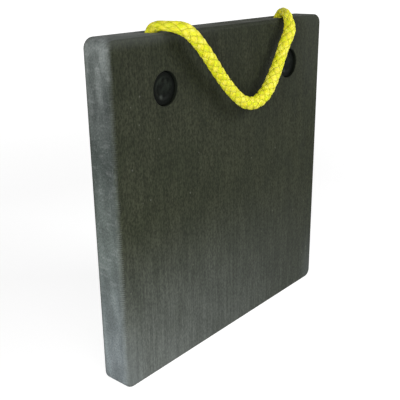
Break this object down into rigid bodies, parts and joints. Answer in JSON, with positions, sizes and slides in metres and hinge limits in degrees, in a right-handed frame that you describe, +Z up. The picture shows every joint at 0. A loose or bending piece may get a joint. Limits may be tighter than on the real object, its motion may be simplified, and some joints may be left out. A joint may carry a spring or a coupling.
{
  "type": "jack plate",
  "caption": "Thick square plastic slab with rounded corners and edges that spreads the load of a jack or outrigger foot, carried by a braided rope handle knotted into its top edge.",
  "frame": {"origin": "middle of the bottom edge face that the plate stands on, without the rope", "axes": "+Z up from the edge it stands on to the edge with the rope, +X across the width, -Y towards the front face with the plugs and the hanging rope"},
  "size_m": [0.4, 0.0652, 0.4156],
  "materials": {
    "slab_plastic": "dull machined polyethylene",
    "yellow_rope": "braided polypropylene",
    "plug_plastic": "moulded black plastic"
  },
  "bodies": {
    "root": {"plate": "slab_plastic", "rope_handle": "yellow_rope", "knot_left": "yellow_rope", "knot_right": "yellow_rope", "plug_left": "plug_plastic", "plug_right": "plug_plastic"}
  },
  "joints": []
}
